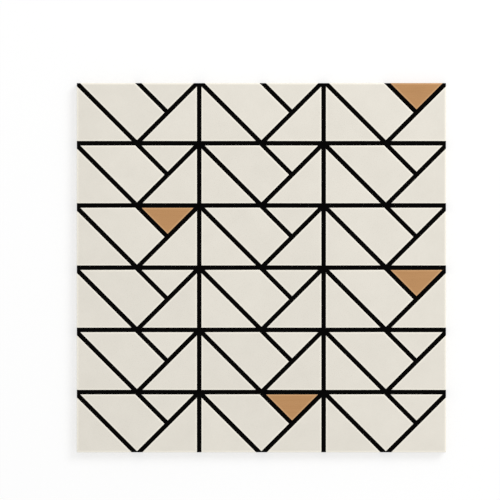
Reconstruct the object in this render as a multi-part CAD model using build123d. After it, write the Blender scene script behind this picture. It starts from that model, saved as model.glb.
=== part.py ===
from build123d import *
import os

# A square mosaic sheet of cream ceramic pieces with black joints and a few bronze triangles.
# It lies on its back, face up. The origin is the middle of the back, +X runs along the rows
# and +Y points to the first row. Every cell of the pattern is cut into four pieces: two right
# triangles in its lower corners, a trapezoid, and a small triangle under its top line.
# All lengths are in millimetres.

# Pattern: cells in a grid, measured between the centre lines of the joints
CELLS_ACROSS = 3
CELL_ROWS = 6
CELL_WIDTH = 100.0
ROW_HEIGHT = 50.0
# From a cell's left line to the point below where its falling and rising joints meet
VALLEY_OFFSET = 50.0
# From a cell's left line to the point above where its short joint begins
SHORT_JOINT_OFFSET = 49.3
JOINT_WIDTH = 3.2
# The small triangle of every cell, row by row from the top left: c is cream and b is bronze
SMALL_TRIANGLE_MAP = ("ccb", "ccc", "bcc", "ccb", "ccc", "cbc")

# Pieces
PIECE_THICKNESS = 8.0
ARRIS_RADIUS = 0.6
# Depth of the grout's surface below the faces of the pieces
GROUT_RECESS = 0.9

# Net of flat glass strands on the back, in two crossing layers
STRAND_PITCH = 10.0
STRAND_WIDTH = 1.0
STRAND_THICKNESS = 0.2
# From the edge of the sheet to the ends of the strands
NET_MARGIN = 2.0

# Worked out from the sizes above
SHEET_WIDTH = CELLS_ACROSS * CELL_WIDTH - JOINT_WIDTH
SHEET_LENGTH = CELL_ROWS * ROW_HEIGHT - JOINT_WIDTH
BACK_LEVEL = 2 * STRAND_THICKNESS
PATTERN_LEFT = -CELLS_ACROSS * CELL_WIDTH / 2
PATTERN_TOP = CELL_ROWS * ROW_HEIGHT / 2


def cell_place(row, column):
    """Where the top left corner of a cell lies, with the row and column counted from 1."""
    return Pos(
        PATTERN_LEFT + (column - 1) * CELL_WIDTH,
        PATTERN_TOP - (row - 1) * ROW_HEIGHT,
        BACK_LEVEL,
    )


def cell_lines():
    """The four pieces of a cell as corners on the joints' centre lines, from its top left corner.

    The short joint runs parallel to the falling joint until it meets the rising one.
    """
    top_left = Vector(0, 0)
    top_right = Vector(CELL_WIDTH, 0)
    bottom_left = Vector(0, -ROW_HEIGHT)
    bottom_right = Vector(CELL_WIDTH, -ROW_HEIGHT)
    valley = Vector(VALLEY_OFFSET, -ROW_HEIGHT)
    short_start = Vector(SHORT_JOINT_OFFSET, 0)
    share_of_fall = (CELL_WIDTH - SHORT_JOINT_OFFSET) / CELL_WIDTH
    short_end = short_start + (valley - top_left) * share_of_fall
    return {
        "corner_triangle": (top_left, bottom_left, valley),
        "trapezoid": (top_left, valley, short_end, short_start),
        "small_triangle": (short_start, short_end, top_right),
        "end_triangle": (valley, bottom_right, top_right),
    }


def piece_face(corners):
    """The outline of a piece: its joint lines moved in by half a joint."""
    between_lines = make_face(Polyline(*corners, close=True))
    return offset(between_lines, amount=-JOINT_WIDTH / 2, kind=Kind.INTERSECTION)


def piece_solid(face):
    """A piece with its upper edges rounded to an arris."""
    blank = extrude(face, amount=PIECE_THICKNESS)
    upper_edges = blank.faces().sort_by(Axis.Z)[-1].edges()
    return fillet(upper_edges, radius=ARRIS_RADIUS)


def grout_solid(faces):
    """The grout of all joints in one piece, cut out round every piece of the sheet."""
    joints = Pos(0, 0, BACK_LEVEL) * Rectangle(SHEET_WIDTH, SHEET_LENGTH)
    pockets = [
        cell_place(row, column) * face
        for row in range(1, CELL_ROWS + 1)
        for column in range(1, CELLS_ACROSS + 1)
        for face in faces.values()
    ]
    return extrude(joints - pockets, amount=PIECE_THICKNESS - GROUT_RECESS)


def strand_layer(span, length):
    """Parallel strands of one length, as many as the span holds on both sides of a middle one."""
    strands_a_side = int((span - STRAND_WIDTH) / 2 // STRAND_PITCH)
    strand = Box(
        STRAND_WIDTH,
        length,
        STRAND_THICKNESS,
        align=(Align.CENTER, Align.CENTER, Align.MIN),
    )
    numbers = range(-strands_a_side, strands_a_side + 1)
    return [Pos(number * STRAND_PITCH, 0, 0) * strand for number in numbers]


def net_nodes():
    """The two layers of the net: long strands up the sheet, and cross strands lying on them."""
    net_width = SHEET_WIDTH - 2 * NET_MARGIN
    net_length = SHEET_LENGTH - 2 * NET_MARGIN
    on_long_strands = Pos(0, 0, STRAND_THICKNESS) * Rot(0, 0, 90)
    return {
        "net_long_strands": strand_layer(net_width, net_length),
        "net_cross_strands": [on_long_strands * s for s in strand_layer(net_length, net_width)],
    }


def is_bronze(row, column):
    """Whether a cell's small triangle is bronze. On a larger sheet the map repeats."""
    letters = SMALL_TRIANGLE_MAP[(row - 1) % len(SMALL_TRIANGLE_MAP)]
    return letters[(column - 1) % len(letters)] == "b"


def piece_nodes(solids):
    """The pieces of the sheet, with the like ones of a row together and each bronze one by itself."""
    nodes = {}
    for row in range(1, CELL_ROWS + 1):
        for column in range(1, CELLS_ACROSS + 1):
            for kind, solid in solids.items():
                if kind == "small_triangle" and is_bronze(row, column):
                    name = f"row_{row}_column_{column}_bronze_triangle"
                else:
                    name = f"row_{row}_{kind}s"
                nodes.setdefault(name, []).append(cell_place(row, column) * solid)
    return nodes


faces = {kind: piece_face(corners) for kind, corners in cell_lines().items()}
solids = {kind: piece_solid(face) for kind, face in faces.items()}
sheet = {
    **piece_nodes(solids),
    "joint_grout": [grout_solid(faces)],
    **net_nodes(),
}

os.makedirs("parts", exist_ok=True)
for name, members in sheet.items():
    node = members[0] if len(members) == 1 else Compound(children=members)
    export_step(node, f"parts/{name}.step")
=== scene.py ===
import math
import random

import bmesh
import bpy
from mathutils import Color, Matrix, Vector
from mathutils.bvhtree import BVHTree


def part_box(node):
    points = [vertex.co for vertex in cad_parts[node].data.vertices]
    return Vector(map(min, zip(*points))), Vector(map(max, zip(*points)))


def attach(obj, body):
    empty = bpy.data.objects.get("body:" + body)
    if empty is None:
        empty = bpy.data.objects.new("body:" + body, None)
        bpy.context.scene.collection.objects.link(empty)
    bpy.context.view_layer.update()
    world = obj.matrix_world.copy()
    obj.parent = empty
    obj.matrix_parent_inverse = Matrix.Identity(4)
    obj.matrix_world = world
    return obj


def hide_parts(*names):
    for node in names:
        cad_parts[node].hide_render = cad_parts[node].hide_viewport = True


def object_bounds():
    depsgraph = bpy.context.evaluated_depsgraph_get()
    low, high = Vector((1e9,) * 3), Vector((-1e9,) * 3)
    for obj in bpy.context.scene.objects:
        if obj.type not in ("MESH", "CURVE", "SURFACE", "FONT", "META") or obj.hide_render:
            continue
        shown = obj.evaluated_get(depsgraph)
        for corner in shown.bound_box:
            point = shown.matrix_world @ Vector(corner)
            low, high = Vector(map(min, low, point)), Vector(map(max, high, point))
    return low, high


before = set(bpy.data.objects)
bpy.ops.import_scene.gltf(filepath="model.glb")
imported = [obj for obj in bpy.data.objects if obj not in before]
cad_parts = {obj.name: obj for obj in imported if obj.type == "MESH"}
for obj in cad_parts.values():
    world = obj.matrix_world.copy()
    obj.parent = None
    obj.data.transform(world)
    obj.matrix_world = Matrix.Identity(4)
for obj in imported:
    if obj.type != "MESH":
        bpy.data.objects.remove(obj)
cad_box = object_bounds()


# Net on the back
# Flat yarns of glass fibre, woven over and under one another and set in a clear resin. The net is
# cut from a roll, a little smaller than the sheet, and every piece of the sheet is glued on it.

YARN_WIDTH = 0.0010
YARN_THICKNESS = 0.00018
YARN_EDGE_RADIUS = 0.00008
YARN_EDGE_SEGMENTS = 2
YARN_PITCH = 0.010
BENDS_A_PITCH = 4
FIBRE_SPACING = 0.00012
FIBRE_LENGTH = 0.006
FIBRE_RELIEF = 0.00003
FIBRE_BUMP = 0.6
FIBRE_ROUGHNESS = (0.35, 0.6)
GLASS_FIBRE = (222, 224, 218)
RESIN = (238, 237, 230)
# Which way fibres or brush lines run, as a turn from X
ALONG_X = 0.0
ALONG_Y = math.pi / 2
# Faces that meet at a larger angle than this have a crisp edge between them
SMOOTH_UP_TO = math.radians(35)

long_low, long_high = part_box("net_long_strands")
cross_low, cross_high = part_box("net_cross_strands")
net_middle = (long_low.z + cross_high.z) / 2
# How far the yarns rise and sink about the middle of the net: half the height of one layer
weave_height = (cross_high.z - long_low.z) / 4


def woven_layer(span, length, first_crossing):
    """Yarns along Y, side by side over the span, rising and sinking by turns at the crossings.

    The middle yarn is up at the middle crossing if first_crossing is 1, and down if it is -1.
    """
    yarns = bmesh.new()
    bmesh.ops.create_cube(yarns, size=1.0)
    bmesh.ops.scale(yarns, vec=(YARN_WIDTH, length, YARN_THICKNESS), verts=yarns.verts)

    def long_edges():
        return [edge for edge in yarns.edges if edge.calc_length() > length / 2]

    bmesh.ops.bevel(
        yarns,
        geom=long_edges(),
        offset=YARN_EDGE_RADIUS,
        affect="EDGES",
        segments=YARN_EDGE_SEGMENTS,
        profile=0.5,
        material=-1,
    )
    bends = round(length / YARN_PITCH * BENDS_A_PITCH)
    bmesh.ops.subdivide_edges(yarns, edges=long_edges(), cuts=bends - 1, use_grid_fill=True)
    middle_yarn = yarns.verts[:] + yarns.edges[:] + yarns.faces[:]
    yarns_a_side = round((span - YARN_WIDTH) / 2 / YARN_PITCH)
    for number in range(1, yarns_a_side + 1):
        for side in (-1, 1):
            copy = bmesh.ops.duplicate(yarns, geom=middle_yarn)["geom"]
            copied_verts = [part for part in copy if isinstance(part, bmesh.types.BMVert)]
            bmesh.ops.translate(yarns, vec=(side * number * YARN_PITCH, 0, 0), verts=copied_verts)
    for vert in yarns.verts:
        crossing = vert.co.y / YARN_PITCH + round(vert.co.x / YARN_PITCH)
        vert.co.z += first_crossing * weave_height * math.cos(math.pi * crossing) + net_middle
    return yarns


def screen_colour(shown):
    """A colour as a picture shows it, from 0 to 255, as the linear light that a shader takes."""
    parts = Color([part / 255 for part in shown])
    return (*parts.from_srgb_to_scene_linear(), 1.0)


def add_node(tree, kind, sockets, **settings):
    """Adds a shader node and gives its outputs. A socket takes a plain value or another output."""
    added = tree.nodes.new(kind)
    for name, value in settings.items():
        setattr(added, name, value)
    for name, value in sockets.items():
        if isinstance(value, bpy.types.NodeSocket):
            tree.links.new(value, added.inputs[name])
        else:
            added.inputs[name].default_value = value
    return added.outputs


def spread(tree, value, source=(0.0, 1.0), result=(0.0, 1.0)):
    """An output's values over a source range, spread over a result range and held at its ends."""
    source_ends = {"From Min": source[0], "From Max": source[1]}
    result_ends = {"To Min": result[0], "To Max": result[1]}
    sockets = {"Value": value, **source_ends, **result_ends}
    return add_node(tree, "ShaderNodeMapRange", sockets)["Result"]


def mixed(tree, share, first, second):
    """Two colours mixed by a share from 0 to 1. Each is a screen colour or an output."""
    sockets = {"Fac": share}
    for name, colour in (("Color1", first), ("Color2", second)):
        made = isinstance(colour, bpy.types.NodeSocket)
        sockets[name] = colour if made else screen_colour(colour)
    return add_node(tree, "ShaderNodeMixRGB", sockets)["Color"]


def bumped(tree, height, strength, depth):
    """The normals of a surface with fine relief of that depth in metres."""
    sockets = {"Height": height, "Strength": strength, "Distance": depth}
    return add_node(tree, "ShaderNodeBump", sockets)["Normal"]


def new_group(name, inputs, outputs):
    """A shader node group with its sockets and their usual values. A colour has four parts."""
    group = bpy.data.node_groups.new(name, "ShaderNodeTree")
    for direction, sockets in (("INPUT", inputs), ("OUTPUT", outputs)):
        for socket, usual in sockets.items():
            kind = "NodeSocketFloat" if isinstance(usual, float) else "NodeSocketColor"
            made = group.interface.new_socket(socket, in_out=direction, socket_type=kind)
            made.default_value = usual
    given = group.nodes.new("NodeGroupInput")
    result = group.nodes.new("NodeGroupOutput")
    return group, given.outputs, result.inputs


def drawn_lines_group():
    """Long fine lines on a surface, from 0 to 1, as in drawn fibre or brushed metal."""
    group, given, result = new_group(
        "drawn_lines",
        {"Spacing": FIBRE_SPACING, "Length": FIBRE_LENGTH, "Turn": ALONG_X},
        {"Lines": 0.5},
    )
    place = add_node(group, "ShaderNodeTexCoord", {})["Object"]
    turned = add_node(
        group,
        "ShaderNodeVectorRotate",
        {"Vector": place, "Angle": given["Turn"]},
        rotation_type="Z_AXIS",
    )["Vector"]
    size = add_node(
        group,
        "ShaderNodeCombineXYZ",
        {"X": given["Length"], "Y": given["Spacing"], "Z": given["Spacing"]},
    )["Vector"]
    stretched = add_node(group, "ShaderNodeVectorMath", {0: turned, 1: size}, operation="DIVIDE")["Vector"]
    lines = add_node(
        group,
        "ShaderNodeTexNoise",
        {"Vector": stretched, "Scale": 1.0, "Detail": 2.0, "Roughness": 0.6},
    )["Fac"]
    group.links.new(lines, result["Lines"])
    return group


def new_material(name, constants):
    """A material whose Principled shader has its even values set on its own sockets."""
    material = bpy.data.materials.new(name)
    material.use_nodes = True
    shader = material.node_tree.nodes["Principled BSDF"]
    for socket, value in constants.items():
        shader.inputs[socket].default_value = value
    return material, material.node_tree, shader


def connect(tree, shader, outputs):
    """Feeds a shader with what changes over the surface."""
    for socket, output in outputs.items():
        tree.links.new(output, shader.inputs[socket])


drawn_lines = drawn_lines_group()


def glass_yarn(name, turn):
    """Fine glass fibres along a yarn, under a thin resin."""
    material, tree, shader = new_material(name, {"Coat Weight": 0.4, "Coat Roughness": 0.25})
    lines = add_node(
        tree,
        "ShaderNodeGroup",
        {"Spacing": FIBRE_SPACING, "Length": FIBRE_LENGTH, "Turn": turn},
        node_tree=drawn_lines,
    )["Lines"]
    connect(
        tree,
        shader,
        {
            "Base Color": mixed(tree, lines, GLASS_FIBRE, RESIN),
            "Roughness": spread(tree, lines, result=FIBRE_ROUGHNESS),
            "Normal": bumped(tree, lines, FIBRE_BUMP, FIBRE_RELIEF),
        },
    )
    return material


def new_piece(name, shape, material, node):
    """Makes a finished shape a piece of the sheet, in the place of its solid."""
    mesh = bpy.data.meshes.new(name)
    shape.to_mesh(mesh)
    shape.free()
    mesh.materials.append(material)
    mesh.shade_smooth()
    mesh.set_sharp_from_angle(angle=SMOOTH_UP_TO)
    piece = bpy.data.objects.new(name, mesh)
    bpy.context.scene.collection.objects.link(piece)
    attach(piece, "root")
    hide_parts(node)


long_yarns = woven_layer(long_high.x - long_low.x, long_high.y - long_low.y, 1)
yarn_up = glass_yarn("glass_yarn_up_the_sheet", ALONG_Y)
new_piece("net_long_yarns", long_yarns, yarn_up, "net_long_strands")

cross_yarns = woven_layer(cross_high.y - cross_low.y, cross_high.x - cross_low.x, -1)
quarter_turn = Matrix.Rotation(math.pi / 2, 3, "Z")
bmesh.ops.rotate(cross_yarns, matrix=quarter_turn, verts=cross_yarns.verts)
yarn_across = glass_yarn("glass_yarn_across_the_sheet", ALONG_X)
new_piece("net_cross_yarns", cross_yarns, yarn_across, "net_cross_strands")


# Cream ceramic pieces
# Triangles and trapezoids pressed from pale stoneware, glazed matt cream on the face and fired.
# The glaze runs thin and light over the rounded upper edges and stops a little way down the sides.
# The lighter colour on these edges is partly a painted highlight.

ARRIS_RADIUS = 0.0006
ARRIS_SEGMENTS = 6
RIM_WIDTH = 0.0011
# Points of a mesh that lie nearer than this are one point
WELD = 0.000001
# A smaller angle than this counts as none, so that faces are flat, level or upright
LEVEL_WITHIN = math.radians(1)
# Grout clings to a piece's joint sides up to where the rounded edge leans back this far
GROUTED_UP_TO = math.radians(45)
# No two pieces lie quite level: the most slope across a face, and the most that one lies low
MOST_SLOPE = 0.0012
MOST_DROP = 0.00008
LAYING_SEED = 3
# The glaze ends on the sides between these two depths below the face, in a wandering line
GLAZE_END_HIGH = 0.0009
GLAZE_END_LOW = 0.0021
GLAZE_END_BLUR = 0.0004
GLAZE_CLOUD = 0.016
GLAZE_GRAIN = 0.0007
GLAZE_RELIEF = 0.00002
GLAZE_BUMP = 0.25
# How much deeper the relief of a cloud is than that of a grain
CLOUD_DEPTH = 12.0
# Where most values of a cloud or grain lie, and where the darker cream comes in with a cloud
USUAL_RANGE = (0.3, 0.7)
CREAM_CLOUD_RANGE = (0.35, 0.75)
# How far a grain and a whole piece may be lighter or darker
GRAIN_SHADES = (0.975, 1.025)
PIECE_SHADE = 0.012
GLAZE_ROUGHNESS = 0.5
STONEWARE_ROUGHNESS = 0.9
CREAM = (226, 221, 210)
CREAM_CLOUD = (222, 217, 206)
# The rim's colour: cream lighter where the glaze runs thin, and partly a painted highlight
THIN_GLAZE_AND_HIGHLIGHT = (243, 238, 225)
STONEWARE = (206, 196, 178)
BLACK_GROUT = (3, 2, 2)
FULL_WHITE = (1.0, 1.0, 1.0, 1.0)
laying = random.Random(LAYING_SEED)


def back_outlines(node):
    """The corners of the pieces of a node, read from the back faces of its solids."""
    solids = bmesh.new()
    solids.from_mesh(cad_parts[node].data)
    bmesh.ops.remove_doubles(solids, verts=solids.verts, dist=WELD)
    bmesh.ops.dissolve_limit(solids, angle_limit=LEVEL_WITHIN, verts=solids.verts, edges=solids.edges)
    backs = [face for face in solids.faces if face.normal.z < -math.cos(LEVEL_WITHIN)]
    outlines = [[vert.co.copy() for vert in face.verts] for face in backs]
    solids.free()
    return sorted(outlines, key=lambda corners: sum(corner.x for corner in corners))


def takes_grout(side):
    """Whether grout clings to a face of a piece: on its joint sides, and not at the sheet's edge."""
    middle = side.calc_center_median()
    inside = all(abs(middle[axis]) < cad_box[1][axis] - ARRIS_RADIUS for axis in (0, 1))
    return inside and -math.sin(LEVEL_WITHIN) < side.normal.z < math.sin(GROUTED_UP_TO)


def pressed_piece(corners, thickness):
    """One piece: its outline raised to a block, with rounded upper edges and a narrow rim inside.

    The points of the rounded edge and of the rim's outer line are marked as rim, and the faces that
    grout clings to as grouted.
    """
    block = bmesh.new()
    rim = block.verts.layers.float.new("rim")
    grouted = block.faces.layers.float.new("grouted")
    back = block.faces.new([block.verts.new(corner) for corner in corners])
    raised = bmesh.ops.extrude_face_region(block, geom=[back], use_keep_orig=True)["geom"]
    face = next(part for part in raised if isinstance(part, bmesh.types.BMFace))
    bmesh.ops.translate(block, vec=(0, 0, thickness), verts=face.verts)
    bmesh.ops.recalc_face_normals(block, faces=block.faces)
    bmesh.ops.bevel(
        block,
        geom=face.edges[:],
        offset=ARRIS_RADIUS,
        affect="EDGES",
        segments=ARRIS_SEGMENTS,
        profile=0.5,
        material=-1,
    )
    face = max(block.faces, key=lambda part: part.calc_center_median().z)
    bmesh.ops.inset_individual(block, faces=[face], thickness=RIM_WIDTH, use_even_offset=True)
    arris_foot = face.verts[0].co.z - ARRIS_RADIUS + WELD
    for vert in block.verts:
        vert[rim] = float(vert.co.z > arris_foot and vert not in face.verts)
    block.normal_update()
    for side in block.faces:
        side[grouted] = float(takes_grout(side))
    return block


def lay_piece(piece, corners, thickness):
    """Gives a piece its own shade, and sets it a little low and unlevel on its back."""
    tint = piece.verts.layers.float.new("tint")
    shade = laying.uniform(-1, 1)
    slope = Vector((laying.uniform(-1, 1), laying.uniform(-1, 1))) * MOST_SLOPE
    drop = laying.uniform(0, MOST_DROP)
    lean = {vert: slope.dot(vert.co.xy) for vert in piece.verts}
    highest = max(lean.values())
    for vert in piece.verts:
        vert[tint] = shade
        height_share = (vert.co.z - corners[0].z) / thickness
        vert.co.z -= height_share * (drop + highest - lean[vert])


def laid_pieces(node):
    """All pieces of a node, laid where its solids are."""
    low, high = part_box(node)
    thickness = high.z - low.z
    together = bmesh.new()
    carrier = bpy.data.meshes.new("carrier")
    for corners in back_outlines(node):
        piece = pressed_piece(corners, thickness)
        lay_piece(piece, corners, thickness)
        piece.to_mesh(carrier)
        piece.free()
        together.from_mesh(carrier)
    bpy.data.meshes.remove(carrier)
    return together


def calculated(tree, operation, *numbers):
    """The result of one sum. Each number is a plain value or an output."""
    return add_node(tree, "ShaderNodeMath", dict(enumerate(numbers)), operation=operation)["Value"]


def surface_grain_group():
    """Soft clouds and fine grain over a surface, both from 0 to 1, by their sizes in metres."""
    group, given, result = new_group(
        "surface_grain",
        {"Cloud Size": GLAZE_CLOUD, "Grain Size": GLAZE_GRAIN},
        {"Cloud": 0.5, "Grain": 0.5},
    )
    place = add_node(group, "ShaderNodeTexCoord", {})["Object"]
    for output, size, detail in (("Cloud", "Cloud Size", 3.0), ("Grain", "Grain Size", 2.0)):
        scale = calculated(group, "DIVIDE", 1.0, given[size])
        noise = add_node(
            group,
            "ShaderNodeTexNoise",
            {"Vector": place, "Scale": scale, "Detail": detail, "Roughness": 0.55},
        )["Fac"]
        group.links.new(noise, result[output])
    return group


def piece_edges_group():
    """The edges of a piece: a rim colour that is partly painted highlight, and matt black grout on its
    joint sides.

    Bare is 1 where there is no grout.
    """
    group, given, result = new_group(
        "piece_edges",
        {"Face": FULL_WHITE, "Rim": FULL_WHITE, "Roughness": 0.5},
        {"Colour": FULL_WHITE, "Roughness": 0.5, "Bare": 1.0},
    )
    rim = add_node(group, "ShaderNodeAttribute", {}, attribute_name="rim")["Fac"]
    grouted = add_node(group, "ShaderNodeAttribute", {}, attribute_name="grouted")["Fac"]
    edged = mixed(group, rim, given["Face"], given["Rim"])
    group.links.new(mixed(group, grouted, edged, BLACK_GROUT), result["Colour"])
    group.links.new(calculated(group, "MAXIMUM", given["Roughness"], grouted), result["Roughness"])
    group.links.new(calculated(group, "SUBTRACT", 1.0, grouted), result["Bare"])
    return group


surface_grain = surface_grain_group()
piece_edges = piece_edges_group()


def shaded(tree, colour, shade):
    """A colour made lighter or darker by a shade about 1."""
    return add_node(tree, "ShaderNodeVectorMath", {0: colour, "Scale": shade}, operation="SCALE")["Vector"]


def cream_glaze():
    """Matt cream glaze on the face and upper edges, bare stoneware on the sides and the back."""
    material, tree, shader = new_material("matt_cream_glaze", {"Specular IOR Level": 0.4})
    surface = add_node(
        tree,
        "ShaderNodeGroup",
        {"Cloud Size": GLAZE_CLOUD, "Grain Size": GLAZE_GRAIN},
        node_tree=surface_grain,
    )
    cloud, grain = surface["Cloud"], surface["Grain"]
    tint = add_node(tree, "ShaderNodeAttribute", {}, attribute_name="tint")["Fac"]
    place = add_node(tree, "ShaderNodeTexCoord", {})["Object"]
    height = add_node(tree, "ShaderNodeSeparateXYZ", {"Vector": place})["Z"]

    grain_shade = spread(tree, grain, USUAL_RANGE, GRAIN_SHADES)
    glaze_shade = calculated(tree, "MULTIPLY_ADD", tint, PIECE_SHADE, grain_shade)
    clouded = mixed(tree, spread(tree, cloud, CREAM_CLOUD_RANGE), CREAM, CREAM_CLOUD)
    glaze = shaded(tree, clouded, glaze_shade)
    stoneware = shaded(tree, screen_colour(STONEWARE)[:3], grain_shade)

    face_level = cad_box[1].z
    end_levels = (face_level - GLAZE_END_LOW, face_level - GLAZE_END_HIGH)
    glaze_end = spread(tree, cloud, USUAL_RANGE, end_levels)
    above_end = calculated(tree, "SUBTRACT", height, glaze_end)
    glazed = spread(tree, above_end, (0.0, GLAZE_END_BLUR))
    edges = add_node(
        tree,
        "ShaderNodeGroup",
        {
            "Face": mixed(tree, glazed, stoneware, glaze),
            # The rim is lighter where the glaze runs thin, and partly a painted highlight along the edges
            "Rim": screen_colour(THIN_GLAZE_AND_HIGHLIGHT),
            "Roughness": spread(tree, glazed, result=(STONEWARE_ROUGHNESS, GLAZE_ROUGHNESS)),
        },
        node_tree=piece_edges,
    )
    ripple = calculated(tree, "MULTIPLY_ADD", cloud, CLOUD_DEPTH, grain)
    connect(
        tree,
        shader,
        {
            "Base Color": edges["Colour"],
            "Roughness": edges["Roughness"],
            "Normal": bumped(tree, ripple, GLAZE_BUMP, GLAZE_RELIEF),
        },
    )
    return material


cream = cream_glaze()
for node in sorted(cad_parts):
    if node.startswith("row_") and not node.endswith("bronze_triangle"):
        new_piece(f"cream_{node}", laid_pieces(node), cream, node)


# Bronze triangles
# Small triangles sawn from bronze plate as thick as the ceramic, with a brushed satin face whose lines
# are painted as lighter and darker streaks of reflection, and edges painted brighter, partly as metal
# rubbed by handling and partly as a painted highlight. They are glued on the net among the others.

BRUSH_SPACING = 0.00012
BRUSH_LENGTH = 0.025
BRUSH_RELIEF = 0.00001
BRUSH_BUMP = 0.5
TARNISH_CLOUD = 0.012
TARNISH_GRAIN = 0.0006
BRONZE_ROUGHNESS = (0.24, 0.32)
# The brush lines run between these two colours, painted as lighter and darker streaks of reflection
BRONZE = (198, 153, 108)
BRONZE_STREAK_SHADE = (169, 124, 81)
# The edges' colour: partly bronze rubbed bright by handling, partly a painted highlight
RUBBED_BRONZE_AND_HIGHLIGHT = (205, 160, 114)


def brushed_bronze():
    """Satin bronze; brush lines painted as streaks of reflection, edges painted brighter as highlight and
    wear.
    """
    material, tree, shader = new_material("brushed_bronze", {})
    lines = add_node(
        tree,
        "ShaderNodeGroup",
        {"Spacing": BRUSH_SPACING, "Length": BRUSH_LENGTH, "Turn": ALONG_X},
        node_tree=drawn_lines,
    )["Lines"]
    surface = add_node(
        tree,
        "ShaderNodeGroup",
        {"Cloud Size": TARNISH_CLOUD, "Grain Size": TARNISH_GRAIN},
        node_tree=surface_grain,
    )
    edges = add_node(
        tree,
        "ShaderNodeGroup",
        {
            # Brush lines painted as streaks of reflection, and the rim painted brighter, partly as a
            # highlight
            "Face": mixed(tree, lines, BRONZE_STREAK_SHADE, BRONZE),
            "Rim": screen_colour(RUBBED_BRONZE_AND_HIGHLIGHT),
            "Roughness": spread(tree, surface["Cloud"], USUAL_RANGE, BRONZE_ROUGHNESS),
        },
        node_tree=piece_edges,
    )
    scratches = calculated(tree, "ADD", lines, surface["Grain"])
    connect(
        tree,
        shader,
        {
            "Base Color": edges["Colour"],
            "Metallic": edges["Bare"],
            "Roughness": edges["Roughness"],
            "Normal": bumped(tree, scratches, BRUSH_BUMP, BRUSH_RELIEF),
        },
    )
    return material


bronze = brushed_bronze()
for node in sorted(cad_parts):
    if node.endswith("bronze_triangle"):
        new_piece(f"brushed_{node}", laid_pieces(node), bronze, node)


# Joint grout
# Black cement grout, rubbed into every joint in one go and wiped hollow with a wet sponge, so
# that it lies a little below the faces. Fine sand in it leaves a matt, slightly grainy surface.

JOINT_WIDTH = 0.0032
HOLLOW_DEPTH = 0.0003
# Where the hollow bends, as shares of the way from a piece to the middle of the joint
HOLLOW_BENDS = (0.3, 0.6, 1.0)
SAND_GRAIN = 0.0003
SAND_RELIEF = 0.0001
SAND_BUMP = 0.6
BLOOM_CLOUD = 0.01
# Where the sand shows in the grain, and where the bloom shows in the clouds
SAND_RANGE = (0.5, 0.8)
BLOOM_RANGE = (0.45, 0.75)
GREY_SAND = (8, 7, 7)
CEMENT_BLOOM = (6, 6, 6)


def all_outlines():
    """The corners of every piece of the sheet."""
    nodes = [node for node in sorted(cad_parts) if node.startswith("row_")]
    return [corners for node in nodes for corners in back_outlines(node)]


def bend_lines(outlines):
    """The lines beside every piece on which the hollow bends, as points and directions outwards.

    Lines that fall on one another, to 0.01 mm, have one name, so that each is kept once.
    """
    lines = {}
    for corners in outlines:
        for here, there in zip(corners, corners[1:] + corners[:1]):
            along = (there - here).normalized()
            outward = Vector((-along.y, along.x, 0))
            for share in HOLLOW_BENDS:
                point = here + outward * share * JOINT_WIDTH / 2
                name = (round(outward.x, 3), round(outward.y, 3), round(outward.dot(point), 5))
                lines[name] = (point, outward)
    return lines.values()


def scored_grout(outlines, top_level):
    """The grout's solid, with its top cut along the lines on which the hollow bends."""
    grout = bmesh.new()
    grout.from_mesh(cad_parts["joint_grout"].data)
    bmesh.ops.remove_doubles(grout, verts=grout.verts, dist=WELD)
    top_faces = [
        face for face in grout.faces if min(vert.co.z for vert in face.verts) > top_level - WELD
    ]
    top_edges = dict.fromkeys(edge for face in top_faces for edge in face.edges)
    top_verts = dict.fromkeys(vert for face in top_faces for vert in face.verts)
    surface = [*top_faces, *top_edges, *top_verts]
    for point, outward in bend_lines(outlines):
        surface = bmesh.ops.bisect_plane(
            grout,
            geom=surface,
            dist=WELD,
            plane_co=point,
            plane_no=outward,
        )["geom"]
    bmesh.ops.triangulate(grout, faces=grout.faces)
    return grout


def flat_pieces(outlines):
    """The backs of all pieces as a search tree, to find how far a point in a joint is from them."""
    backs = bmesh.new()
    for corners in outlines:
        backs.faces.new([backs.verts.new(corner) for corner in corners])
    tree = BVHTree.FromBMesh(backs)
    backs.free()
    return tree


def wiped_grout():
    """The grout of all joints, hollow on top: at the pieces it stands as high as the solid."""
    outlines = all_outlines()
    back_level = outlines[0][0].z
    top_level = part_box("joint_grout")[1].z
    grout = scored_grout(outlines, top_level)
    pieces = flat_pieces(outlines)
    for vert in grout.verts:
        if vert.co.z > top_level - WELD:
            *_, to_piece = pieces.find_nearest((vert.co.x, vert.co.y, back_level))
            to_middle = min(to_piece / (JOINT_WIDTH / 2), 1)
            vert.co.z -= HOLLOW_DEPTH * (1 - (1 - to_middle) ** 2)
    bmesh.ops.recalc_face_normals(grout, faces=grout.faces)
    return grout


def black_grout():
    """Matt black cement with fine sand and a faint bloom."""
    material, tree, shader = new_material(
        "black_cement_grout",
        {"Roughness": 0.95, "Specular IOR Level": 0.04},
    )
    surface = add_node(
        tree,
        "ShaderNodeGroup",
        {"Cloud Size": BLOOM_CLOUD, "Grain Size": SAND_GRAIN},
        node_tree=surface_grain,
    )
    sandy = mixed(tree, spread(tree, surface["Grain"], SAND_RANGE), BLACK_GROUT, GREY_SAND)
    bloom = spread(tree, surface["Cloud"], BLOOM_RANGE)
    connect(
        tree,
        shader,
        {
            "Base Color": mixed(tree, bloom, sandy, CEMENT_BLOOM),
            "Normal": bumped(tree, surface["Grain"], SAND_BUMP, SAND_RELIEF),
        },
    )
    return material


new_piece("wiped_joint_grout", wiped_grout(), black_grout(), "joint_grout")


# Floor, light and camera
# A plain white floor that keeps the sheet's shadow, a white room, one large soft lamp above the
# upper right corner, and a long lens that looks straight down as in the photograph.

FLOOR_SIZE = 12.0
# The share of the floor's white that doesn't depend on the light on it
FLOOR_GLOW = 0.6
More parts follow.
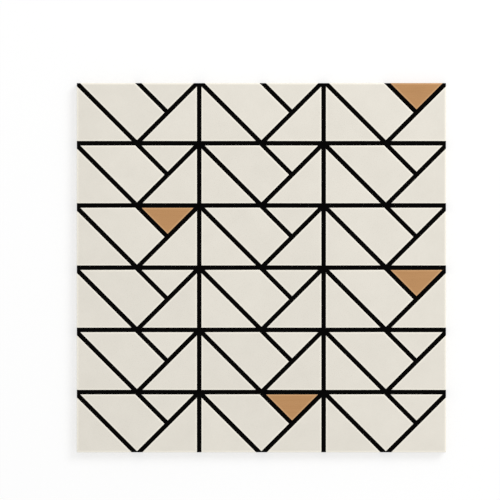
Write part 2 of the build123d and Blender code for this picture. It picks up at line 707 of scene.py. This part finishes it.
# The strength of the white room as light on the sheet, and where it is seen
ROOM_LIGHT = 0.735
ROOM_WHITE = 1.0
LAMP_PLACE = Vector((1.5, 1.5, 1.8))
LAMP_SIZE = 1.2
LAMP_POWER = 34.0
# In the photograph's pixels: its side, the width of a cell, and the place of the sheet's centre
PHOTO_PIXELS = 500
CELL_PIXELS = 124.46
SHEET_CENTRE_PIXEL = Vector((261.4, 267.7))
CELL_WIDTH = 0.1
LENS = 150.0


def seen_directly(tree):
    """1 for a ray from the camera, a mirror or through glass, and 0 for the light on the object."""
    ray = add_node(tree, "ShaderNodeLightPath", {})
    seen_or_mirrored = calculated(tree, "MAXIMUM", ray["Is Camera Ray"], ray["Is Glossy Ray"])
    return calculated(tree, "MAXIMUM", seen_or_mirrored, ray["Is Transmission Ray"])


def white_floor():
    """White paint that partly glows where it is seen, so that it is white and still shows shadow."""
    material = bpy.data.materials.new("white_floor")
    material.use_nodes = True
    tree = material.node_tree
    tree.nodes.clear()
    paint = add_node(tree, "ShaderNodeBsdfDiffuse", {"Color": FULL_WHITE})["BSDF"]
    glow = add_node(tree, "ShaderNodeEmission", {"Color": FULL_WHITE, "Strength": 1.0})["Emission"]
    share = calculated(tree, "MULTIPLY", seen_directly(tree), FLOOR_GLOW)
    seen = add_node(tree, "ShaderNodeMixShader", {0: share, 1: paint, 2: glow})["Shader"]
    add_node(tree, "ShaderNodeOutputMaterial", {"Surface": seen})
    return material


def white_room():
    """An even white room: white where it is seen, and dimmer as light because the lamp adds to it."""
    world = bpy.data.worlds.new("white_room")
    world.use_nodes = True
    tree = world.node_tree
    tree.nodes.clear()
    light, wall = (
        add_node(tree, "ShaderNodeBackground", {"Color": FULL_WHITE, "Strength": strength})["Background"]
        for strength in (ROOM_LIGHT, ROOM_WHITE)
    )
    seen = add_node(tree, "ShaderNodeMixShader", {0: seen_directly(tree), 1: light, 2: wall})["Shader"]
    add_node(tree, "ShaderNodeOutputWorld", {"Surface": seen})
    return world


floor_shape = bmesh.new()
bmesh.ops.create_grid(floor_shape, x_segments=1, y_segments=1, size=FLOOR_SIZE / 2)
floor_mesh = bpy.data.meshes.new("floor")
floor_shape.to_mesh(floor_mesh)
floor_shape.free()
floor_mesh.materials.append(white_floor())
floor = bpy.data.objects.new("floor", floor_mesh)
bpy.context.scene.collection.objects.link(floor)
bpy.context.scene.world = white_room()

lamp_data = bpy.data.lights.new("soft_lamp", "AREA")
lamp_data.size = LAMP_SIZE
lamp_data.energy = LAMP_POWER
lamp = bpy.data.objects.new("soft_lamp", lamp_data)
lamp.location = LAMP_PLACE
lamp.rotation_euler = (-LAMP_PLACE).to_track_quat("-Z", "Y").to_euler()
lamp.visible_camera = False
bpy.context.scene.collection.objects.link(lamp)

metres_a_pixel = CELL_WIDTH / CELL_PIXELS
camera_data = bpy.data.cameras.new("camera")
camera_data.lens = LENS
frame_width = PHOTO_PIXELS * metres_a_pixel
camera_height = cad_box[1].z + frame_width * LENS / camera_data.sensor_width
picture_middle = Vector((PHOTO_PIXELS / 2, PHOTO_PIXELS / 2))
aside = (picture_middle - SHEET_CENTRE_PIXEL) * metres_a_pixel
camera = bpy.data.objects.new("camera", camera_data)
camera.location = (aside.x, -aside.y, camera_height)
bpy.context.scene.collection.objects.link(camera)
bpy.context.scene.camera = camera
bpy.context.scene.view_settings.view_transform = "Standard"
